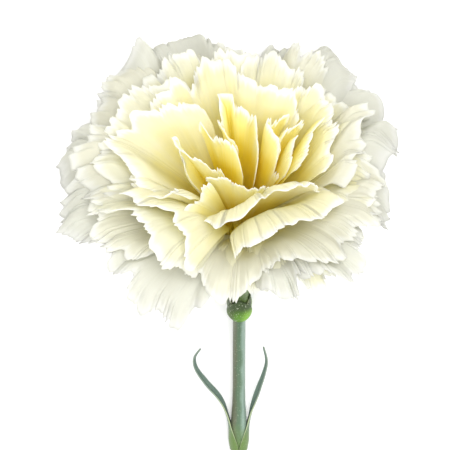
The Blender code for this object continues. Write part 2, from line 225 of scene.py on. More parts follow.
# %% Rims of the heart, inner and middle petals
RIMS = {
    "heart": [
        [(-15.2, -5.5, 21), (-15, -1.5, 28), (-14, 0.6, 31), (-10.5, -2.6, 29.5), (-6, -4.6, 26),
         (-4, -5, 21)],
        [(-9.8, 5.8, 30.5), (-8.4, 4.8, 31.5), (-5, 1.6, 30.8), (-1.6, -1.2, 28), (0.6, -2.2, 21)],
        [(-0.6, 1.8, 26), (-2.6, 3.6, 29), (-4.6, 6.4, 31), (-3.4, 8.4, 31.2), (-1.9, 11.4, 32.4),
         (-0.9, 8.8, 31.4), (1.2, 6.8, 31.2), (2.8, 4.4, 31), (4.2, 1, 26.5), (4.4, -1.6, 20)],
        [(11, 10.6, 32), (8.6, 7.6, 31.5), (6.4, 5.6, 31), (6.9, 3.2, 30), (8.8, 0.6, 27.5),
         (12.4, -2, 22)],
        [(9.6, 1.2, 26), (9.2, 4.2, 29.5), (10.6, 6.9, 31), (13.2, 8.4, 31.6), (15.8, 9.5, 31.6)],
        [(12.6, 5.2, 29.5), (12.2, 1.4, 28), (13.4, -1.6, 23.5)],
        [(19.8, 12.2, 32.5), (16.8, 7.2, 31.8), (16.4, 3, 30.5), (16, -1.6, 26)],
        [(-8.5, -6, 25), (-7, -7.6, 26), (-2, -9, 25.5), (5, -9.6, 24), (9.5, -7.5, 22)],
        [(-7.4, -10.4, 27), (-9.8, -13.8, 27.5), (-10.6, -17.4, 27), (-9, -20.6, 26)],
    ],
    "inner": [
        [(-8.6, -18.2, 29), (-5.4, -16.8, 30.2), (-1, -15.2, 30.4), (4, -12.8, 30.2), (10.5, -9.6, 30),
         (16.6, -6.6, 30), (21.5, -5, 29.4), (23.4, -4.6, 28)],
        [(-22, -1, 29), (-22, -4.5, 30), (-19.5, -8.5, 30), (-17, -12.5, 29), (-14.5, -10.5, 29),
         (-12, -12.5, 28)],
        [(-25.5, -2, 30), (-22.5, -7, 31.5), (-17.5, -11.6, 32), (-13, -16.2, 32.5),
         (-8.6, -20.6, 32.5), (-4.4, -24.8, 32)],
        [(-20, 12.5, 32), (-15, 15, 33.5), (-8.5, 17.3, 34), (-2, 17.5, 34.5), (5, 16, 34.5),
         (10, 13.2, 33.5), (13.5, 9.5, 32)],
        [(-21, -7, 30), (-23, -1.5, 32), (-22.3, 5, 33.5), (-18.5, 9.5, 33.5), (-12.5, 10.5, 33),
         (-7, 11.5, 31.5)],
        [(7.5, 17.5, 31.5), (13.5, 16, 33), (18.7, 13.5, 33.5), (22.5, 9, 33.5), (24.5, 2.5, 32.5),
         (24.2, -2.5, 31)],
        [(-3, -26, 28.5), (-2.2, -24, 30), (0.6, -21.8, 30.4), (5, -19.5, 30.7), (10, -16.2, 31.1),
         (16, -12.9, 31.2), (23, -9, 31), (27, -3.5, 30)],
    ],
    "middle": [
        [(-29, 2, 29), (-28.5, -3.5, 32), (-25.5, -9, 33.5), (-21, -14.4, 34), (-16, -19, 33.7),
         (-10.5, -23.4, 33), (-5.5, -27, 32)],
        [(-26.5, -9, 30), (-26.8, -5, 32), (-26.5, 1, 33), (-25, 8, 34), (-20.5, 14, 34.5),
         (-15, 17.8, 34.5), (-9, 19, 33)],
        [(-24, 15.5, 33), (-18.5, 20, 34.5), (-11, 22.5, 35.5), (-3, 23.5, 35.5), (4.5, 23, 35),
         (11, 21.8, 33.5)],
        [(-4, 19.3, 33), (2, 20.3, 34.5), (8.5, 20, 35.5), (15, 18.3, 35.5), (20, 15.2, 34.5),
         (23.5, 11.5, 33)],
        [(12.5, 22, 33.5), (19, 20, 35), (24.5, 15.8, 35.5), (28, 9, 35.5), (29.5, 1, 34.5),
         (28.2, -6, 32.5)],
        [(29, 8.5, 31), (31, 2, 33), (31, -5, 33.5), (29, -12, 33), (24, -18, 31)],
        [(31, -9, 28), (29, -16, 30), (24, -21.5, 30), (18, -24.5, 29.3), (11, -26.4, 28.6),
         (4, -27.4, 27.5)],
        [(20, -26, 26), (14, -28.2, 26.6), (6, -29.4, 26.6), (-2, -29.2, 26.6), (-7, -28.4, 26)],
    ],
}

# %% Rims of the outer and guard petals
ARCS = {
    "outer": [
        [(234, 0.86, 30), (224, 0.87, 32.5), (212, 0.88, 34), (202, 0.88, 33.5), (192, 0.87, 32)],
        [(200, 0.84, 31), (189, 0.85, 34), (176, 0.85, 35.5), (164, 0.85, 36), (153, 0.84, 35.5),
         (144, 0.84, 33.5)],
        [(162, 0.89, 35), (150, 0.89, 37), (139, 0.89, 38.5), (128, 0.89, 38.5), (117, 0.88, 37.5),
         (108, 0.88, 35)],
        [(124, 0.84, 34.5), (113, 0.85, 36.5), (102, 0.85, 38), (91, 0.85, 37.4), (81, 0.85, 35.8),
         (72, 0.84, 33.5)],
        [(86, 0.88, 33), (77, 0.88, 36.5), (66, 0.88, 39.5), (54, 0.88, 40), (43, 0.88, 38.5),
         (34, 0.87, 36)],
        [(50, 0.84, 35), (39, 0.85, 38), (27, 0.85, 39.5), (15, 0.85, 38.5), (4, 0.85, 36.5),
         (-6, 0.84, 33.5)],
        [(14, 0.89, 34), (4, 0.89, 36.5), (-7, 0.89, 36.5), (-19, 0.88, 35), (-30, 0.88, 33),
         (-40, 0.87, 30)],
        [(-24, 0.84, 30), (-34, 0.84, 33), (-45, 0.84, 34.5), (-56, 0.84, 33.5), (-66, 0.84, 31),
         (-76, 0.84, 28)],
        [(-117, 0.86, 27.6), (-106, 0.87, 29.8), (-96, 0.87, 30.4), (-85, 0.87, 31.6),
         (-75, 0.87, 32.2), (-66, 0.86, 30)],
    ],
    "guard": [
        [(204, 0.90, 31), (214, 0.95, 33), (224, 0.97, 34), (234, 0.97, 34.5), (244, 0.97, 34.6),
         (253, 0.97, 34.5), (261, 0.95, 33.5), (268, 0.92, 31)],
        [(213, 0.93, 31), (204, 0.94, 33.3), (194, 0.95, 35.2), (184, 0.95, 36.2), (175, 0.94, 35.8),
         (166, 0.93, 34)],
        [(180, 0.97, 35), (170, 0.97, 37), (160, 0.98, 38.5), (151, 0.98, 39), (142, 0.97, 38.5),
         (132, 0.96, 36.5)],
        [(140, 0.93, 36), (130, 0.93, 39.5), (119, 0.93, 42.5), (107, 0.93, 44.5), (97, 0.93, 43.5),
         (88, 0.92, 39), (82, 0.92, 34.5)],
        [(82, 0.93, 34), (76, 0.94, 40), (69, 0.95, 45.5), (60, 0.95, 47.5), (51, 0.95, 46.5),
         (42, 0.95, 43), (36, 0.94, 39.5)],
        [(54, 0.92, 40), (45, 0.93, 43.5), (35, 0.94, 44.5), (25, 0.94, 43.5), (15, 0.94, 41.5),
         (6, 0.93, 38)],
        [(20, 0.96, 36), (10, 0.97, 37.6), (0, 0.97, 36.2), (-9, 0.97, 34.4), (-18, 0.96, 33),
         (-26, 0.95, 31)],
        [(-14, 0.92, 32), (-23, 0.93, 33.5), (-32, 0.94, 35.5), (-42, 0.95, 37.5), (-50, 0.94, 36),
         (-58, 0.92, 32)],
        [(-48, 0.88, 30), (-55, 0.91, 31.5), (-61, 0.93, 33), (-66, 0.94, 33.6), (-71, 0.93, 32.5),
         (-77, 0.91, 29.5)],
    ],
}
ALL_RIMS = {**RIMS, **ARCS}
print("petals:", sum(len(rims) for rims in ALL_RIMS.values()))


# %% A smooth curve through a rim's points
CURVE_POINTS = 240
ARC_SCALE = 30  # brings an arc's numbers to about its millimetres, so that its steps are even


def through(points):
    """A smooth curve through the points, evenly stepped, one row for each of its points."""
    points = np.array(points, float)
    gaps = np.linalg.norm(np.diff(points[:, :2], axis=0), axis=1)
    at = np.concatenate([[0], np.cumsum(gaps)]) / gaps.sum()
    before = np.maximum(np.arange(len(at)) - 1, 0)
    after = np.minimum(np.arange(len(at)) + 1, len(at) - 1)
    tangents = (points[after] - points[before]) / (at[after] - at[before])[:, None]
    share = np.linspace(0, 1, CURVE_POINTS)
    index = np.clip(np.searchsorted(at, share, side="right") - 1, 0, len(at) - 2)
    step = at[index + 1] - at[index]
    q = ((share - at[index]) / step)[:, None]
    step = step[:, None]
    start = (2 * q**3 - 3 * q**2 + 1) * points[index] + (q**3 - 2 * q**2 + q) * step * tangents[index]
    end = (3 * q**2 - 2 * q**3) * points[index + 1] + (q**3 - q**2) * step * tangents[index + 1]
    return start + end


def on_disc(ring, rim):
    """A rim as a curve on the flower's disc (layer times direction), with its length of petal."""
    if ring in ARCS:
        curve = through([(math.radians(a) * ARC_SCALE, b * ARC_SCALE, size) for a, b, size in rim])
        angle, layer = curve[:, 0] / ARC_SCALE, curve[:, 1] / ARC_SCALE
    else:
        curve = through(rim)
        angle = np.arctan2(curve[:, 1], curve[:, 0])
        layer = layer_at(np.hypot(curve[:, 0], curve[:, 1]))
    return np.column_stack([layer * np.cos(angle), layer * np.sin(angle), curve[:, 2]])


# %% [markdown]
# ## Ruffles and teeth
# A petal's edge grows faster than its middle, so it has to buckle. Two sorts of
# waves do that here. The first sort is shared by all petals, so that they nest.
# The second is each petal's own, and it is weaker. The margin is cut into fine
# uneven teeth, which are the carnation's mark. The petals on the upper side, the
# ones nearest the lens, also flare: their lips fold outwards, so that their pale
# faces catch the light.

# %% Ruffles and teeth
TOOTH_WIDTH = 1.15
LIP_CURL = 1.3  # how far the very margin rolls outwards, in shares of the ruffle
NEST = [  # direction of travel, waves across the disc, size, start
    (0.3, 3.1, 0.030, 0.4), (1.9, 3.7, 0.028, 2.1), (2.8, 5.3, 0.014, 4.0), (1.1, 6.4, 0.010, 1.2),
]
RING_TEETH = {"heart": 1.9, "inner": 1.8, "middle": 1.9, "outer": 2.1, "guard": 2.2}  # mm


def freedom(disc, free_from, least):
    """How far a petal may wave here: not at all on the axis, and only by least on the upper side."""
    from_axis = np.hypot(disc[:, 0], disc[:, 1])
    return smooth(from_axis, 0.03, free_from) * (least + (1 - least) * smooth(disc[:, 1], -0.5, 0.2))


def nested(disc, grown):
    """Moves points of the disc by waves that all petals share."""
    moved = disc.copy()
    free = freedom(disc, 0.25, 0.35)
    for travel, waves, size, start in NEST:
        along_wave = disc[:, 0] * math.cos(travel) + disc[:, 1] * math.sin(travel)
        push = size * grown * free * np.sin(math.tau * waves / 2 * along_wave + start)
        moved[:, 0] -= push * math.sin(travel + 0.6)
        moved[:, 1] += push * math.cos(travel + 0.6)
    return moved


def teeth(along_rim, draw):
    """How much shorter the margin is cut, in mm, at these places along the rim in mm."""
    x = along_rim / TOOTH_WIDTH
    x = x + 0.5 * np.sin(x * 0.9 + draw[0]) + 0.35 * np.sin(x * 2.3 + draw[1])
    saw = np.abs(np.mod(x, 1) * 2 - 1)
    depth = 0.42 + 0.38 * np.sin(x * 0.7 + draw[2]) + 0.30 * np.sin(x * 1.9 + draw[3])
    notch = np.maximum(0, np.sin(along_rim * 0.42 + draw[4])) ** 6
    lobe = np.sin(along_rim * 0.8 + draw[9]) * np.sin(along_rim * 0.31 + draw[10])
    return saw * np.maximum(depth, 0.10) + 1.2 * notch + 0.55 * lobe


def ruffle(along_rim, grown, draw):
    """How far the petal swings in (-) or out (+), in shares of its ring's ruffle."""
    broad = np.sin(along_rim / 3.4 + draw[8] + 0.8 * np.sin(along_rim / 7 + draw[6]))
    waves = 1.15 * smooth(grown, 0.25, 1.0) * broad
    uneven = 0.65 + 0.35 * np.sin(along_rim / 2.9 + draw[11])
    middle = np.sin(along_rim / 1.25 + draw[5] + 1.3 * np.sin(along_rim / 3.1 + draw[7]))
    waves = waves + 0.80 * smooth(grown, 0.66, 1.0) ** 1.5 * uneven * middle
    fine = np.sin(along_rim / 0.55 + draw[7] + np.sin(along_rim / 1.7 + draw[3]))
    waves = waves + 0.34 * smooth(grown, 0.88, 1.0) * (1.2 - uneven) * fine
    curl = 0.5 + 0.5 * np.sin(along_rim / 4.3 + draw[4] + np.sin(along_rim / 2.2 + draw[2]))
    lip = smooth(grown, 0.90, 1.0) ** 1.4 * (0.55 + 0.9 * curl)
    return waves + 0.7 * smooth(grown, 0.74, 1.06) * curl + LIP_CURL * lip


# %% One petal's points
RING_RUFFLE = {"heart": 0.62, "inner": 1.00, "middle": 1.15, "outer": 1.30, "guard": 1.40}  # mm
LIP_FLARE = {"heart": 0.6, "inner": 3.0, "middle": 2.2, "outer": 0.8, "guard": 0.0}  # mm
# How much of a petal's length is missing at its corners, and by what share it has fanned out.
RING_CORNER = {"heart": 0.02, "inner": 0.03, "middle": 0.06, "outer": 0.10, "guard": 0.10}
FAN_BY = {"heart": 0.40, "inner": 0.48, "middle": 0.55, "outer": 0.55, "guard": 0.55}


def petal_points(ring, rim, draw, across, along):
    """Points of one petal in mm: across is -1 to 1, and along is 0 at the claw and 1 at the rim."""
    curve = on_disc(ring, rim)
    share = np.linspace(0, 1, len(curve))
    steps = np.linalg.norm(np.diff(curve[:, :2], axis=0), axis=1) * DISC_MM
    rim_mm = np.concatenate([[0], np.cumsum(steps)])
    own = (across + 1) / 2
    full = np.interp(own, share, curve[:, 2])
    full = full * (1 - RING_CORNER[ring] * np.abs(across) ** 2.6 - 0.06 * np.abs(across) ** 9)
    full = full - RING_TEETH[ring] * teeth(np.interp(own, share, rim_mm), draw)
    length = -CLAW_LENGTH + along * (CLAW_LENGTH + full)
    grown = np.clip(length / full, 0, 1)
    claw = min(CLAW_WIDTH / max(rim_mm[-1] * 0.2, CLAW_WIDTH), 1.0)
    opened = 0.85 * smooth(length, 1, FAN_BY[ring] * full) + 0.15 * smooth(length, 2, full)
    place = 0.5 + across / 2 * (claw + (1 - claw) * opened)
    disc = np.column_stack([np.interp(place, share, curve[:, k]) for k in (0, 1)])
    along_rim = np.interp(place, share, rim_mm)
    tangent = np.gradient(curve[:, :2], axis=0)
    tangent = tangent / np.linalg.norm(tangent, axis=1)[:, None]
    ahead_x, ahead_y = (np.interp(place, share, tangent[:, k]) for k in (0, 1))
    normal = np.column_stack([ahead_y, -ahead_x])
    outwards = np.sign(np.mean(normal[:, 0] * disc[:, 0] + normal[:, 1] * disc[:, 1]))
    free = freedom(disc, 0.20, 0.5)
    swing = RING_RUFFLE[ring] / DISC_MM * outwards * ruffle(along_rim, grown, draw) * free
    flare = LIP_FLARE[ring] * smooth(-disc[:, 1], 0.05, 0.40) * smooth(grown, 0.68, 1.0) ** 1.3
    flare = flare * (0.25 + 0.75 * smooth(disc[:, 0], -0.45, -0.05))
    swing = swing + outwards * flare / DISC_MM
    disc = disc + normal * swing[:, None]
    disc = nested(disc, smooth(length / 34, 0.12, 1.0))
    layer = np.hypot(disc[:, 0], disc[:, 1])
    angle = np.arctan2(disc[:, 1], disc[:, 0])
    out, height = cup(length, layer)
    return laid_down(out * np.cos(angle), out * np.sin(angle), height)


# %% [markdown]
# ## Petal colour
# A petal is thin enough for light to pass through, so its material mixes a soft
# surface with a translucent one. Its colour runs from gold at the claw through
# butter to near white at the rim, broken up by veins that fan out from the claw
# and by soft blotches. The gold and butter are partly the petal's own colour and
# partly painted shade, the warm colour that light takes deep between the packed
# petals. That pattern is one node group, which each ring's material uses with its
# own colours. The petals on the upper side and on the left are painted lighter
# than the rest, painted light for the glow on their lit faces, so each petal
# carries its own share of it.


# %% Node helpers
def add_node(tree, kind, **values):
    """A new node. A value goes to the input or the property of that name."""
    node = tree.nodes.new(kind)
    for name, value in values.items():
        label = name.replace("_", " ")
        if label in node.inputs:
            node.inputs[label].default_value = value
        else:
            setattr(node, name, value)
    return node


def feed(tree, socket, value):
    """Gives an input a number, a colour or another node's output."""
    if isinstance(value, (int, float)):
        socket.default_value = value
    elif isinstance(value, tuple):
        socket.default_value = (*value, 1)
    else:
        tree.links.new(value, socket)


def math_node(tree, operation, first, second):
    node = add_node(tree, "ShaderNodeMath", operation=operation)
    feed(tree, node.inputs[0], first)
    feed(tree, node.inputs[1], second)
    return node.outputs[0]


def ease_node(tree, value, low, high):
    """An S-curve from 0 at low to 1 at high."""
    node = add_node(tree, "ShaderNodeMapRange", interpolation_type="SMOOTHSTEP")
    feed(tree, node.inputs["Value"], value)
    feed(tree, node.inputs["From Min"], low)
    feed(tree, node.inputs["From Max"], high)
    return node.outputs["Result"]


def mix_colors(tree, share, first, second, blend="MIX"):
    node = add_node(tree, "ShaderNodeMix", data_type="RGBA", blend_type=blend)
    for label, value in (("Factor_Float", share), ("A_Color", first), ("B_Color", second)):
        feed(tree, next(i for i in node.inputs if i.identifier == label), value)
    return next(o for o in node.outputs if o.identifier == "Result_Color")


def noise_node(tree, vector, scale, detail):
    node = add_node(tree, "ShaderNodeTexNoise", Detail=detail)
    feed(tree, node.inputs["Vector"], vector)
    feed(tree, node.inputs["Scale"], scale)
    return node.outputs["Fac"]


def centred(tree, value, size):
    """A noise's value about its middle, times size."""
    return math_node(tree, "MULTIPLY", math_node(tree, "SUBTRACT", value, 0.5), size)


def start_pattern(name, colors, numbers):
    """A node group with these inputs, which gives out a colour, a height and a roughness."""
    group = bpy.data.node_groups.new(name, "ShaderNodeTree")
    for way, kind, labels in (
        ("INPUT", "NodeSocketColor", colors),
        ("INPUT", "NodeSocketFloat", numbers),
        ("OUTPUT", "NodeSocketColor", ("Color",)),
        ("OUTPUT", "NodeSocketFloat", ("Height", "Roughness")),
    ):
        for label in labels:
            group.interface.new_socket(label, in_out=way, socket_type=kind)
    own_map = add_node(group, "ShaderNodeUVMap", uv_map="UVMap").outputs["UV"]
    parts = add_node(group, "ShaderNodeSeparateXYZ")
    group.links.new(own_map, parts.inputs[0])
    return group, own_map, parts.outputs["X"], parts.outputs["Y"]


def finish_pattern(group, color, height, roughness):
    made = add_node(group, "NodeGroupOutput")
    for label, value in (("Color", color), ("Height", height), ("Roughness", roughness)):
        group.links.new(value, made.inputs[label])


def patterned_material(name, group, values, bump_strength, bump_distance):
    """A material whose surface follows a pattern, with these values for the pattern's inputs."""
    material = bpy.data.materials.new(name)
    material.use_nodes = True
    tree = material.node_tree
    surface = tree.nodes["Principled BSDF"]
    pattern = add_node(tree, "ShaderNodeGroup", node_tree=group)
    for label, value in values.items():
        feed(tree, pattern.inputs[label], value)
    bump = add_node(tree, "ShaderNodeBump", Strength=bump_strength, Distance=bump_distance)
    tree.links.new(pattern.outputs["Height"], bump.inputs["Height"])
    tree.links.new(pattern.outputs["Color"], surface.inputs["Base Color"])
    tree.links.new(pattern.outputs["Roughness"], surface.inputs["Roughness"])
    tree.links.new(bump.outputs["Normal"], surface.inputs["Normal"])
    return material, surface, pattern


# %% Petal pattern group
PETAL_COLOR_INPUTS = ("Claw Color", "Middle Color", "Rim Color", "Margin Color")
PETAL_MARK_INPUTS = ("Gold To", "Vein", "Blotch")
PAINTED_LIGHT_SHIFT = 0.14  # painted light: the gold stays this much lower in a petal that gets all of it
VEIN_STRETCH = (60, 2.4, 1)  # many veins across a petal, long ones along it


def make_petal_pattern():
    """Colour and height over a petal, from its map (x across, y from claw to rim) and its place."""
    group, own_map, _, along = start_pattern("petal_pattern", PETAL_COLOR_INPUTS, PETAL_MARK_INPUTS)
    given = add_node(group, "NodeGroupInput").outputs
    position = add_node(group, "ShaderNodeTexCoord").outputs["Object"]
    fan = add_node(group, "ShaderNodeMapping", Scale=VEIN_STRETCH)
    group.links.new(own_map, fan.inputs["Vector"])
    veins = noise_node(group, fan.outputs["Vector"], 1.0, 4.0)
    blotches = noise_node(group, position, 130.0, 2.0)
    fibres = noise_node(group, position, 1400.0, 2.0)
    shift = centred(group, blotches, given["Blotch"])
    place = math_node(group, "ADD", along, math_node(group, "ADD", shift, centred(group, veins, 0.16)))
    # Painted light: petals on the upper side and the left are made lighter, with their gold kept
    # lower.
    painted_light_paleness = add_node(group, "ShaderNodeAttribute", attribute_name="painted_light_paleness")
    painted_lift = math_node(group, "MULTIPLY", painted_light_paleness.outputs["Fac"], PAINTED_LIGHT_SHIFT)
    risen = math_node(group, "SUBTRACT", math_node(group, "ADD", place, painted_lift), given["Gold To"])
    # Gold at the claw to cream at the rim: partly the petal's own colour, partly painted warm shade of
    # the deep places between petals.
    past_claw = ease_node(group, risen, -0.24, 0.02)
    color = mix_colors(group, past_claw, given["Claw Color"], given["Middle Color"])
    color = mix_colors(group, ease_node(group, risen, -0.06, 0.20), color, given["Rim Color"])
    dark = math_node(group, "MULTIPLY", ease_node(group, veins, 0.45, 0.75), given["Vein"])
    color = mix_colors(group, dark, color, (0.70, 0.60, 0.30), "MULTIPLY")
    frayed = math_node(group, "ADD", along, centred(group, veins, 0.06))
    edge = math_node(group, "MULTIPLY", ease_node(group, frayed, 0.915, 0.965), 0.9)
    color = mix_colors(group, edge, color, given["Margin Color"])
    vein_relief = math_node(group, "MULTIPLY", veins, 0.8)
    relief = math_node(group, "ADD", vein_relief, math_node(group, "MULTIPLY", fibres, 0.2))
    roughness = math_node(group, "ADD", math_node(group, "MULTIPLY", blotches, 0.25), 0.45)
    finish_pattern(group, color, relief, roughness)
    return group


PETAL_PATTERN = make_petal_pattern()
print("petal pattern nodes:", len(PETAL_PATTERN.nodes))

# %% Petal materials
# Colours of the claw, middle, rim and margin; the share of the length that stays
# gold; and the share of the light that passes through. The claw gold and the
# butter are partly the petals' own colour and partly painted shade, the warm
# colour that light takes deep between the packed petals. The guard and outer
# colours are greyer and darker than the inner ones, partly their own faint
# green-grey and partly painted shade that keeps them dim under lamps bright
# enough to light the heart.
PETAL_COLORS = {
    "guard": ((0.78, 0.75, 0.50), (0.73, 0.73, 0.60), (0.75, 0.75, 0.68), (0.80, 0.80, 0.76)),
    "outer": ((0.83, 0.79, 0.46), (0.80, 0.78, 0.59), (0.80, 0.79, 0.68), (0.87, 0.87, 0.82)),
    "middle": ((0.90, 0.84, 0.42), (0.88, 0.85, 0.58), (0.87, 0.86, 0.72), (0.95, 0.95, 0.90)),
    "inner": ((0.92, 0.83, 0.23), (0.93, 0.89, 0.55), (0.94, 0.92, 0.74), (0.99, 0.99, 0.96)),
    "heart": ((0.93, 0.80, 0.09), (0.96, 0.90, 0.42), (0.96, 0.94, 0.70), (0.99, 0.99, 0.96)),
}
GOLD_TO = {"guard": 0.62, "outer": 0.72, "middle": 0.78, "inner": 0.79, "heart": 0.86}
THROUGH_LIGHT = {"guard": 0.50, "outer": 0.50, "middle": 0.55, "inner": 0.62, "heart": 0.62}
VEIN_STRENGTH = 0.06
BLOTCH_STRENGTH = 0.30


def make_petal_material(ring):
    given = (*PETAL_COLORS[ring], GOLD_TO[ring], VEIN_STRENGTH, BLOTCH_STRENGTH)
    values = dict(zip(PETAL_COLOR_INPUTS + PETAL_MARK_INPUTS, given))
    name = f"{ring}_petal"
    material, surface, pattern = patterned_material(name, PETAL_PATTERN, values, 0.22, 0.0004)
    surface.inputs["Specular IOR Level"].default_value = 0.3
    tree = material.node_tree
    glow = add_node(tree, "ShaderNodeBsdfTranslucent")
    tree.links.new(pattern.outputs["Color"], glow.inputs["Color"])
    both = add_node(tree, "ShaderNodeMixShader", Fac=THROUGH_LIGHT[ring])
    tree.links.new(surface.outputs[0], both.inputs[1])
    tree.links.new(glow.outputs[0], both.inputs[2])
    tree.links.new(both.outputs[0], tree.nodes["Material Output"].inputs["Surface"])
    return material


PETAL_MATERIALS = {ring: make_petal_material(ring) for ring in PETAL_COLORS}
print("petal materials:", sorted(PETAL_MATERIALS))

# %% [markdown]
# ## Building the petals
# Each petal starts as a flat grid. Its points are put where the rim and the
# shared shape say, and then the sheet is given a thickness. The bracts and the
# leaves are made with the same helpers.

# %% Helpers for sheets and pieces
pieces = {}


def pick(piece):
    """Selects this piece alone and makes it active."""
    bpy.ops.object.select_all(action="DESELECT")
    piece.select_set(True)
    bpy.context.view_layer.objects.active = piece


def take_new(name):
    """The object that was just added, under a new name."""
    piece = bpy.context.object
    piece.name = name
    piece.data.name = name
    return piece


def points_of(piece, unit=MM):
    """The piece's points, one row each, in mm unless another unit is given."""
    points = np.empty(len(piece.data.vertices) * 3)
    piece.data.vertices.foreach_get("co", points)
    return points.reshape(-1, 3) / unit


def place_points(piece, points):
    piece.data.vertices.foreach_set("co", (np.asarray(points) * MM).ravel())
    piece.data.update()


def add_sheet(name, across, along):
    """A grid as a new piece, with each point's place across it (-1 to 1) and along it (0 to 1)."""
    bpy.ops.mesh.primitive_grid_add(x_subdivisions=across, y_subdivisions=along, size=2)
    piece = take_new(name)
    points = points_of(piece, unit=1)
    return piece, points[:, 0], (points[:, 1] + 1) / 2


def thicken(piece, thickness, offset=0.0):
    pick(piece)
    wall = piece.modifiers.new("thickness", "SOLIDIFY")
    wall.thickness = thickness * MM
    wall.offset = offset
    bpy.ops.object.modifier_apply(modifier=wall.name)


def finish_piece(piece, node, material):
    piece.data.materials.clear()
    piece.data.materials.append(material)
    pick(piece)
    bpy.ops.object.shade_smooth()
    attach(piece, "root")
    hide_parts(node)
    pieces[node] = piece


# %% Build the petals
ACROSS = {"heart": 110, "inner": 150, "middle": 160, "outer": 160, "guard": 170}  # grid steps
ALONG = 30
ROW_CROWDING = 1.3  # the rows of points lie closer together towards the rim
PETAL_THICKNESS = 0.16
# Painted light: the share that petals on the left get, as against those on the upper side.
LEFT_PAINTED_LIGHT = 0.8


def painted_light_share_of(ring, rim):
    """How much painted light a petal gets: 1 on the upper side, a little less on the left, and 0 for
    the rest.
    """
    to_left, upwards = -np.mean(on_disc(ring, rim)[:, :2], axis=0)
    return float(max(smooth(upwards, -0.05, 0.35), LEFT_PAINTED_LIGHT * smooth(to_left, 0.15, 0.40)))


chance = np.random.default_rng(7)
for ring, rims in ALL_RIMS.items():
    for number, rim in enumerate(rims, 1):
        node = f"{ring}_petal_{number}"
        piece, across, along = add_sheet(f"ruffled_{node}", ACROSS[ring], ALONG)
        draw = chance.uniform(0, math.tau, 12)
        place_points(piece, petal_points(ring, rim, draw, across, 1 - (1 - along) ** ROW_CROWDING))
        # Each petal carries its share of painted light, which makes it lighter with its gold lower.
        painted_light_paleness = piece.data.attributes.new("painted_light_paleness", "FLOAT", "POINT")
        painted_light_paleness.data.foreach_set("value", np.full(len(across), painted_light_share_of(ring, rim)))
        thicken(piece, PETAL_THICKNESS)
        finish_piece(piece, node, PETAL_MATERIALS[ring])
print("petals built:", len(pieces))

# %% [markdown]
# ## Helpers for the green pieces
# The calyx, the pistil and the stem are round, so they are grown: a
# circle is extruded upwards ring by ring, and each new ring is resized. They
# are modelled upright about the flower's axis, where measuring is easy, and
# laid down afterwards. Each keeps a map of its upright place, which its colours
# follow.

# %% Growing a round piece
BELOW_HEAD = -math.radians(90) + HEAD_TILT  # turns the upright flower down to its place


def grow_rings(name, side, corners, closed):
    """A round piece with its side given as (height, radius) pairs; its ends may be closed."""
    height, radius = side[0]
    place = (0, 0, height * MM)
    bpy.ops.mesh.primitive_circle_add(vertices=corners, radius=radius * MM, location=place)
    bpy.ops.object.transform_apply(location=True)
    piece = take_new(name)
    bpy.ops.object.mode_set(mode="EDIT")
    bpy.ops.mesh.select_all(action="SELECT")
    if closed:
        bpy.ops.mesh.edge_face_add()
    for (height, radius), (next_height, next_radius) in zip(side, side[1:]):
        upwards = {"value": (0, 0, (next_height - height) * MM)}
        bpy.ops.mesh.extrude_region_move(TRANSFORM_OT_translate=upwards)
        ratio = next_radius / radius
        middle = (0, 0, next_height * MM)
        bpy.ops.transform.resize(value=(ratio, ratio, 1), center_override=middle)
    bpy.ops.mesh.select_all(action="SELECT")
    bpy.ops.mesh.normals_make_consistent(inside=False)
    bpy.ops.object.mode_set(mode="OBJECT")
    return piece


def map_piece(piece, u, v):
    """Writes the piece's map from one pair of numbers for each point."""
    corners = np.empty(len(piece.data.loops), int)
    piece.data.loops.foreach_get("vertex_index", corners)
    layer = piece.data.uv_layers.get("UVMap") or piece.data.uv_layers.new(name="UVMap")
    layer.data.foreach_set("uv", np.column_stack([u[corners], v[corners]]).ravel())


def round_off(piece):
    pick(piece)
    softer = piece.modifiers.new("softer", "SUBSURF")
    softer.levels = 1
    bpy.ops.object.modifier_apply(modifier=softer.name)


def lay_on_axis(piece):
    """Turns an upright piece down onto the flower's axis and moves it to the mouth."""
    pick(piece)
    piece.rotation_euler = (BELOW_HEAD, 0, 0)
    piece.location = MOUTH * MM
    bpy.ops.object.transform_apply(location=True, rotation=True)


print("an upright piece is turned by", round(math.degrees(BELOW_HEAD)), "degrees")

# %% [markdown]
# ## Green colours
# The green parts of a carnation carry a bloom of wax, so they look bluish and
# slightly chalky, and where it is rubbed off the green is deeper and shinier.
# Their fibres run lengthwise. One node group gives this to all of them: colours
# for the left, middle and right of a piece, fibres along it, and specks. On the
# calyx and the bracts the right side is painted lighter, which is painted light
# from the lamp's side, and the bracts' upper end is painted dark, partly their
# own darker tips and partly painted shade under the head.

# %% Green pattern group
GREEN_COLOR_INPUTS = ("Left Color", "Middle Color", "Right Color", "End Color")
GREEN_MARK_INPUTS = ("End From", "End To", "Streak", "Specks", "Fibre Scale")


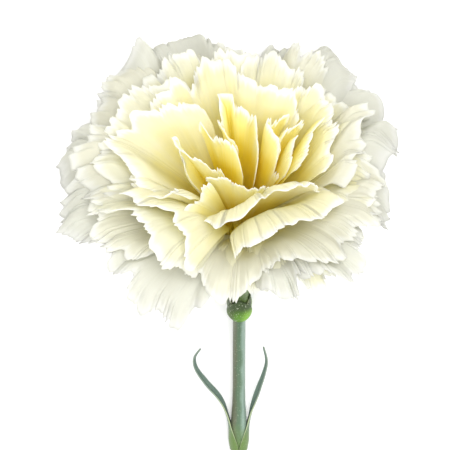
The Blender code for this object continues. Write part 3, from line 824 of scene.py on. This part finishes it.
def make_green_pattern():
    """Colour over a green piece from its map: x across it (0 to 1), y along it."""
    group, own_map, x, y = start_pattern("waxy_green_pattern", GREEN_COLOR_INPUTS, GREEN_MARK_INPUTS)
    given = add_node(group, "NodeGroupInput").outputs
    position = add_node(group, "ShaderNodeTexCoord").outputs["Object"]
    stretch = add_node(group, "ShaderNodeMapping", Scale=(9.0, 1.1, 1.0))
    group.links.new(own_map, stretch.inputs["Vector"])
    fibres = noise_node(group, stretch.outputs["Vector"], given["Fibre Scale"], 4.0)
    clouds = noise_node(group, position, 260.0, 3.0)
    specks = noise_node(group, position, 2600.0, 2.0)
    wander = centred(group, clouds, 0.35)
    across = math_node(group, "ADD", x, wander)
    # Left to right colours: on the calyx and the bracts the right is painted lighter, painted light
    # from the lamp's side.
    past_left = ease_node(group, across, 0.22, 0.46)
    color = mix_colors(group, past_left, given["Left Color"], given["Middle Color"])
    color = mix_colors(group, ease_node(group, across, 0.52, 0.76), color, given["Right Color"])
    along = math_node(group, "ADD", y, math_node(group, "MULTIPLY", wander, 0.3))
    # End colour: on the bracts this is painted shade under the head, partly their own darker tips.
    at_end = ease_node(group, along, given["End From"], given["End To"])
    color = mix_colors(group, at_end, color, given["End Color"])
    dark = math_node(group, "MULTIPLY", ease_node(group, fibres, 0.50, 0.72), given["Streak"])
    color = mix_colors(group, dark, color, (0.45, 0.55, 0.38), "MULTIPLY")
    pale = math_node(group, "MULTIPLY", ease_node(group, specks, 0.62, 0.70), given["Specks"])
    color = mix_colors(group, pale, color, (0.62, 0.68, 0.50))
    relief = math_node(group, "ADD", fibres, math_node(group, "MULTIPLY", specks, 0.15))
    roughness = math_node(group, "ADD", math_node(group, "MULTIPLY", clouds, 0.35), 0.30)
    finish_pattern(group, color, relief, roughness)
    return group


GREEN_PATTERN = make_green_pattern()


def make_green(name, colors, marks, sheen=0.0):
    """A green finish from its colours and marks, in the order of the pattern's inputs."""
    values = dict(zip(GREEN_COLOR_INPUTS + GREEN_MARK_INPUTS, (*colors, *marks)))
    material, surface, _ = patterned_material(name, GREEN_PATTERN, values, 0.4, 0.0002)
    surface.inputs["Specular IOR Level"].default_value = 0.45
    surface.inputs["Sheen Weight"].default_value = sheen
    return material


def paint_margin(piece, across, margin, margin_from):
    """Gives a thickened sheet's faces beyond this share of its width a second material."""
    piece.data.materials.append(margin)
    edge = np.abs(np.concatenate([across, across])) > margin_from
    for face in piece.data.polygons:
        if all(edge[v] for v in face.vertices):
            face.material_index = 1


print("green pattern nodes:", len(GREEN_PATTERN.nodes))

# %% [markdown]
# ## Calyx
# The calyx is five sepals grown together into one tube, which ends in five
# pointed teeth. The tube is grown ring by ring, and then its mouth is lowered
# and drawn in between the teeth, which leaves five points standing.

# %% Calyx
CALYX_SIDE = [
    (-29.9, 1.50), (-29.1, 1.72), (-28.0, 2.05), (-26.0, 2.38), (-23.5, 2.30), (-21.0, 2.18),
    (-19.0, 2.65), (-17.0, 3.75), (-15.0, 4.88), (-13.0, 5.45), (-10.0, 5.85), (-6.5, 6.55),
    (-3.0, 6.95), (0.0, 7.35), (3.0, 7.95),
]
CALYX_THICKNESS = 0.35
TEETH = 5
TOOTH_FOOT = -3.0
TOOTH_HEIGHT = 6.0
calyx = grow_rings("fused_calyx", CALYX_SIDE, TEETH * 8, closed=False)
points = points_of(calyx)
around = np.arctan2(points[:, 1], points[:, 0]) * TEETH
tooth = np.clip((points[:, 2] - TOOTH_FOOT) / TOOTH_HEIGHT, 0, 1)
gap = np.arccos(np.clip(np.cos(around), -1, 1)) / math.pi  # 0 at a tooth's tip, 1 midway to the next
points[:, 2] -= tooth * TOOTH_HEIGHT * gap
points[:, :2] *= (1 - 0.10 * tooth * (1 - np.abs(2 * gap - 1)))[:, None]
place_points(calyx, points)
map_piece(calyx, points[:, 0] / 12 + 0.5, (points[:, 2] + CALYX_LENGTH) / 32)
thicken(calyx, CALYX_THICKNESS, offset=-1.0)
round_off(calyx)
lay_on_axis(calyx)
# The calyx's right side colour is painted lighter: painted light from the lamp's side.
calyx_green = make_green(
    "calyx_green",
    ((0.070, 0.100, 0.036), (0.080, 0.130, 0.034), (0.105, 0.170, 0.045), (0.13, 0.18, 0.06)),
    (0.75, 1.0, 0.5, 0.5, 3.0),
)
finish_piece(calyx, "calyx", calyx_green)
print("calyx points:", len(calyx.data.vertices))

# %% [markdown]
# ## Bracts
# Four short scales hug the foot of the calyx, one pair over the other. Together
# they are the round green bulb under the flower. Each is a thin curved sheet:
# a grid is wrapped round the calyx and stays broad almost to its tip.

# %% Bracts
BRACT_LENGTH = 8.6
BRACT_THICKNESS = 0.28
BRACT_SIDE = [  # share of the length, distance from the axis
    (0.0, 1.82), (0.09, 2.22), (0.20, 2.58), (0.35, 2.82), (0.50, 2.88), (0.75, 2.74), (1.0, 2.52),
]
BRACT_HALF_WIDTH = 68  # degrees round the calyx
PAIRS = [(0, 0), (180, 0), (90, 0.46), (270, 0.46)]  # direction, and how far out of its place
# Partly painted light: the right side is painted lighter where the lamp falls, and the upper end is
# painted dark, partly the scales' own darker tips and partly painted shade under the head.
bract_green = make_green(
    "bract_green",
    ((0.065, 0.120, 0.010), (0.090, 0.235, 0.006), (0.180, 0.400, 0.006), (0.040, 0.070, 0.016)),
    (0.34, 0.72, 0.35, 0.75, 5.0),
)
bract_margin = make_green(
    "bract_margin",
    ((0.42, 0.47, 0.28), (0.42, 0.50, 0.27), (0.45, 0.55, 0.28), (0.36, 0.38, 0.24)),
    (0.6, 1.0, 0.3, 0.0, 5.0),
)
for number, (direction, outwards) in enumerate(PAIRS, 1):
    bract, across, along = add_sheet(f"bract_scale_{number}", 28, 28)
    width = BRACT_HALF_WIDTH * (1 - 0.86 * along**5) * (0.72 + 0.28 * smooth(along, 0, 0.3))
    angle = np.radians(direction + across * width)
    radius = np.interp(along, *zip(*BRACT_SIDE)) + outwards * (1 - 0.35 * along)
    height = -CALYX_LENGTH - 0.2 + BRACT_LENGTH * (along - 0.1 * np.abs(across) * along)
    place_points(bract, np.column_stack([radius * np.cos(angle), radius * np.sin(angle), height]))
    map_piece(bract, radius * np.cos(angle) / 6 + 0.5, along)
    thicken(bract, BRACT_THICKNESS)
    lay_on_axis(bract)
    finish_piece(bract, f"bract_{number}", bract_green)
    paint_margin(bract, across, bract_margin, 0.93)
print("bracts:", number)

# %% [markdown]
# ## Pistil
# Deep inside sits the ovary, with two thin styles that curl out among the heart
# petals. All three are grown in rings like the calyx, and then the points of
# each style are moved aside, further towards its tip.

# %% Pistil
OVARY_SIDE = [
    (-13.0, 0.30), (-12.8, 0.62), (-12.2, 0.92), (-11.0, 1.10),
    (-9.8, 1.05), (-8.4, 0.84), (-7.2, 0.60), (-6.4, 0.25),
]
STYLE_LOW, STYLE_HIGH, STYLE_STEPS = -8.0, 8.0, 16
STYLE_RADIUS = 0.3
pistil = grow_rings("ovary_and_styles", OVARY_SIDE, 24, closed=True)
styles = []
for side in (-1, 1):
    heights = np.linspace(STYLE_LOW, STYLE_HIGH, STYLE_STEPS)
    radii = STYLE_RADIUS * (1 - 0.5 * ((heights - STYLE_LOW) / (STYLE_HIGH - STYLE_LOW)) ** 3)
    style = grow_rings(f"style_{side}", list(zip(heights, radii)), 12, closed=True)
    points = points_of(style)
    points[:, 0] += side * (0.40 + 0.6 * smooth(points[:, 2], -2, 9))
    place_points(style, points)
    styles.append(style)
pick(pistil)
for style in styles:
    style.select_set(True)
bpy.ops.object.join()
points = points_of(pistil)
map_piece(pistil, points[:, 0] / 3 + 0.5, (points[:, 2] + 13) / 21)
lay_on_axis(pistil)
pistil_ivory = make_green(
    "pistil_ivory",
    ((0.50, 0.58, 0.22), (0.55, 0.62, 0.26), (0.60, 0.66, 0.30), (0.90, 0.88, 0.72)),
    (0.30, 0.60, 0.15, 0.0, 4.0),
)
finish_piece(pistil, "pistil", pistil_ivory)
print("styles:", len(styles))

# %% [markdown]
# ## Stem
# The stem is a waxy shaft with one swollen joint, and its cut end is slanted.
# It is grown straight, ring by ring, with its radius at each ring, and then
# laid along the line that it really takes: bent at the neck, then level until
# the cut end touches the table.

# %% The stem's line
STEM_LENGTH = 72.0
STEM_RADIUS = 1.55
NECK_BEND = 14.0
JOINT_AT = 32.3
SWAY, SWAY_FROM = 2.2, 34  # how far the cut end lies to one side, and where that starts
CUT_SLANT = math.tan(math.radians(38))
STEM_TOP = MOUTH - AXIS * CALYX_LENGTH
LINE_STEPS = 1441


def stem_line(rest):
    """Runs along the stem in mm, and the line's points there, if its long part slopes this much."""
    runs = np.linspace(0, STEM_LENGTH, LINE_STEPS)
    between = (runs[1:] + runs[:-1]) / 2
    slope = np.radians(rest + (math.degrees(HEAD_TILT) - rest) * (1 - smooth(between, 0, NECK_BEND)))
    step = runs[1]
    back = np.concatenate([[0], np.cumsum(np.cos(slope))]) * step
    down = np.concatenate([[0], np.cumsum(np.sin(slope))]) * step
    sway = SWAY * smooth(runs, SWAY_FROM, STEM_LENGTH)
    return runs, np.array(STEM_TOP) + np.column_stack([sway, -back, -down])


flat, steep = 0.0, 12.0  # the slope that lays the cut end on the table is between these
for _ in range(40):
    rest_slope = (flat + steep) / 2
    if stem_line(rest_slope)[1][-1, 2] > STEM_RADIUS:
        flat = rest_slope
    else:
        steep = rest_slope
RUNS, LINE = stem_line(rest_slope)
AHEAD = -np.gradient(LINE, axis=0)
AHEAD = AHEAD / np.linalg.norm(AHEAD, axis=1)[:, None]
print("the long part of the stem slopes by", round(rest_slope, 2), "degrees")


def along_stem(points):
    """Lays upright points (x to the right, y up, z = minus the run) along the stem's line."""
    run = -points[:, 2]
    at = np.column_stack([np.interp(run, RUNS, LINE[:, k]) for k in range(3)])
    ahead = np.column_stack([np.interp(run, RUNS, AHEAD[:, k]) for k in range(3)])
    at += ahead * np.maximum(-run, 0)[:, None]
    right = np.array([1.0, 0, 0])
    up = np.cross(right, ahead)
    up /= np.linalg.norm(up, axis=1)[:, None]
    side = np.cross(ahead, up)
    return at + side * points[:, 0:1] + up * points[:, 1:2]


# %% Stem
RECEPTACLE = [  # the stem's swollen top inside the calyx: run along the stem, radius
    (-16.5, 4.3), (-15.6, 3.9), (-14.6, 3.4), (-13.4, 2.6),
    (-12.0, 1.75), (-10.8, 1.25), (-5.0, 1.05), (-0.1, 0.95),
]


def shaft_radius(run):
    """The shaft with its swollen joint, and a fine crease where the leaves come off."""
    swollen = 0.55 * math.exp(-(((run - JOINT_AT - 1.5) / 6.0) ** 2))
    crease = 0.10 * math.exp(-(((run - JOINT_AT - 5.5) / 0.7) ** 2))
    return STEM_RADIUS + swollen - crease


stem_runs = list(np.arange(0.3, STEM_LENGTH, 1.2)) + [STEM_LENGTH - 0.1, STEM_LENGTH]
stem_side = RECEPTACLE + [(run, shaft_radius(run)) for run in stem_runs]
stem = grow_rings("waxy_stem", [(-run, radius) for run, radius in stem_side[::-1]], 32, closed=True)
points = points_of(stem)
at_cut = smooth(-points[:, 2], STEM_LENGTH - 0.05, STEM_LENGTH)
map_piece(stem, points[:, 0] / 4.2 + 0.5, -points[:, 2] / STEM_LENGTH)
points[:, 2] += at_cut * CUT_SLANT * points[:, 1]
ribs = 0.035 * np.sin(9 * np.arctan2(points[:, 1], points[:, 0])) * smooth(-points[:, 2], 0.5, 4)
points[:, :2] *= (1 + ribs / STEM_RADIUS)[:, None]
place_points(stem, along_stem(points))
stem_green = make_green(
    "stem_green",
    ((0.115, 0.130, 0.078), (0.085, 0.150, 0.086), (0.235, 0.330, 0.270), (0.125, 0.205, 0.065)),
    (0.42, 0.52, 0.45, 0.25, 4.0),
    sheen=0.10,
)
finish_piece(stem, "stem", stem_green)
print("stem rings:", len(stem_side))

# %% [markdown]
# ## Leaves
# The two leaves stand opposite each other at the joint. Each starts as half a
# sheath round the stem and narrows into a channelled, pointed blade that curves
# in again at its tip. A leaf is a sheet bent across its width along a smooth
# middle line, so it is made like the petals: a grid with its points placed, and
# then a thickness.

# %% Leaves
LEAVES = {  # side, then the middle line: along the stem towards the flower, and outwards
    "leaf_left": (-1, [
        (-6.5, 2.10), (-4.0, 2.45), (-1.0, 2.50), (2.6, 3.00), (7.4, 4.9),
        (12.0, 8.4), (15.6, 10.7), (18.6, 11.1), (21.0, 9.6),
    ]),
    "leaf_right": (1, [
        (-6.5, 2.10), (-4.0, 2.45), (-1.0, 2.50), (2.4, 2.90), (6.3, 3.9),
        (10.4, 5.1), (14.3, 6.3), (17.8, 6.9), (21.5, 6.1),
    ]),
}
SHEATH_RADIUS = 2.35
BLADE_RADIUS = 1.9
BLADE_HALF_WIDTH = 1.45
LEAF_THICKNESS = 0.32
LEAF_TWIST = math.radians(38)  # the blades turn their hollow side up
leaf_green = make_green(
    "leaf_green",
    ((0.070, 0.115, 0.026), (0.095, 0.165, 0.035), (0.120, 0.200, 0.050), (0.110, 0.170, 0.135)),
    (0.16, 0.40, 0.40, 0.15, 6.0),
    sheen=0.12,
)
leaf_margin = make_green(
    "leaf_margin",
    ((0.40, 0.47, 0.27), (0.40, 0.47, 0.27), (0.40, 0.47, 0.27), (0.20, 0.26, 0.20)),
    (0.40, 0.60, 0.2, 0.0, 6.0),
)


def middle_line(points, share):
    """The points at these shares of a smooth curve through the control points."""
    points = np.array(points)
    last = len(points) - 1
    index = np.minimum((share * last).astype(int), last - 1)
    q = (share * last - index)[:, None]
    p0, p1, p2, p3 = (points[np.clip(index + k, 0, last)] for k in (-1, 0, 1, 2))
    cubic = 2 * p1 + (p2 - p0) * q + (2 * p0 - 5 * p1 + 4 * p2 - p3) * q**2
    return 0.5 * (cubic + (3 * p1 - p0 - 3 * p2 + p3) * q**3)


joint = np.array([np.interp(JOINT_AT, RUNS, LINE[:, k]) for k in range(3)])
joint_ahead = np.array([np.interp(JOINT_AT - 0.5, RUNS, AHEAD[:, k]) for k in range(3)])
joint_up = np.cross([1.0, 0, 0], joint_ahead)
joint_up /= np.linalg.norm(joint_up)
for node, (side, line) in LEAVES.items():
    leaf, across, along = add_sheet(f"channelled_{node}", 20, 72)
    outward = np.array([side, 0.0, 0.0])
    at = middle_line(line, along)
    step = middle_line(line, np.minimum(along + 0.01, 1))
    step -= middle_line(line, np.maximum(along - 0.01, 0))
    step /= np.linalg.norm(step, axis=1)[:, None]
    blade = smooth(along, 0.30, 0.46)
    curl = SHEATH_RADIUS + (BLADE_RADIUS - SHEATH_RADIUS) * blade
    sheath_reach = np.radians(84 - 60 * smooth(along, 0.06, 0.42)) * SHEATH_RADIUS
    blade_reach = BLADE_HALF_WIDTH * (1 - along) ** 0.7 * (1 - 0.3 * smooth(along, 0.5, 1)) + 0.12
    reach = sheath_reach * (1 - blade) + blade_reach * blade
    turn = across * reach / curl
    flat_in = (step[:, 1] * blade)[:, None] * joint_ahead
    flat_in = flat_in - (step[:, 0] * blade + 1 - blade)[:, None] * outward
    twist = LEAF_TWIST * smooth(along, 0.34, 0.62)[:, None]
    inward = flat_in * np.cos(twist) + joint_up * np.sin(twist)
    upward = joint_up * np.cos(twist) - flat_in * np.sin(twist)
    keel = 0.10 * blade * np.exp(-((across / 0.16) ** 2))
    centre = joint + joint_ahead * at[:, 0:1] + outward * at[:, 1:2]
    place = centre + inward * (curl * (1 - np.cos(turn)) - keel)[:, None]
    place_points(leaf, place + upward * (curl * np.sin(turn))[:, None])
    map_piece(leaf, across / 2 + 0.5, along)
    thicken(leaf, LEAF_THICKNESS)
    finish_piece(leaf, node, leaf_green)
    paint_margin(leaf, across, leaf_margin, 0.92)
    print(node, "has", len(leaf.data.polygons), "faces")

# %% [markdown]
# ## Resting on the table
# The sheath of the leaves is a little thicker than the stem, so the flower
# rests on it too. Everything is moved up together until its lowest point is
# level with the table.

# %% Up to the table
lowest = min(min(v.co.z for v in piece.data.vertices) for piece in pieces.values())
for piece in pieces.values():
    piece.data.transform(Matrix.Translation((0, 0, -lowest)))
print("moved up by", round(-lowest / MM, 2), "mm")
